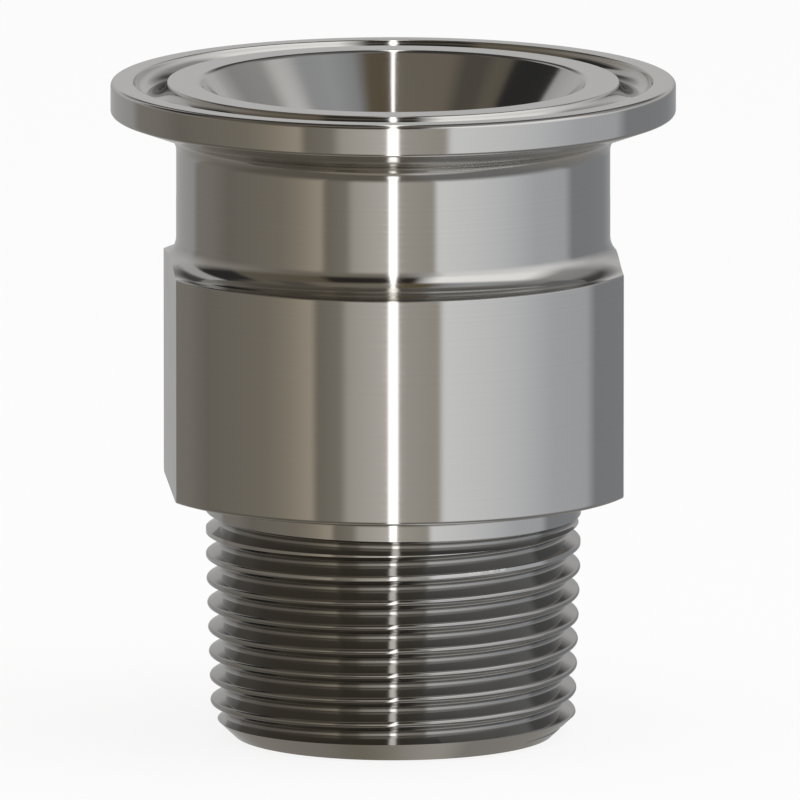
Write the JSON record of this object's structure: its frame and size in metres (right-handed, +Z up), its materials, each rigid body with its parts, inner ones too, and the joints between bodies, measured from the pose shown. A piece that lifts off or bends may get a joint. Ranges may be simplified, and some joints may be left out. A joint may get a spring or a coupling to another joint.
{
  "type": "sanitary clamp to pipe thread adapter",
  "caption": "Turned steel adapter with a grooved clamp flange, a round body with wrench flats, a male taper pipe thread and a funnelled through bore.",
  "frame": {"origin": "centre of the thread's end face, which the adapter stands on", "axes": "+Z up the bore, from the thread to the clamp face; the wrench flats face +X and -X"},
  "size_m": [0.0506, 0.0506, 0.0591],
  "materials": {
    "stainless_steel": "fine turned, bright"
  },
  "bodies": {
    "root": {"adapter_body": "stainless_steel"}
  },
  "joints": []
}
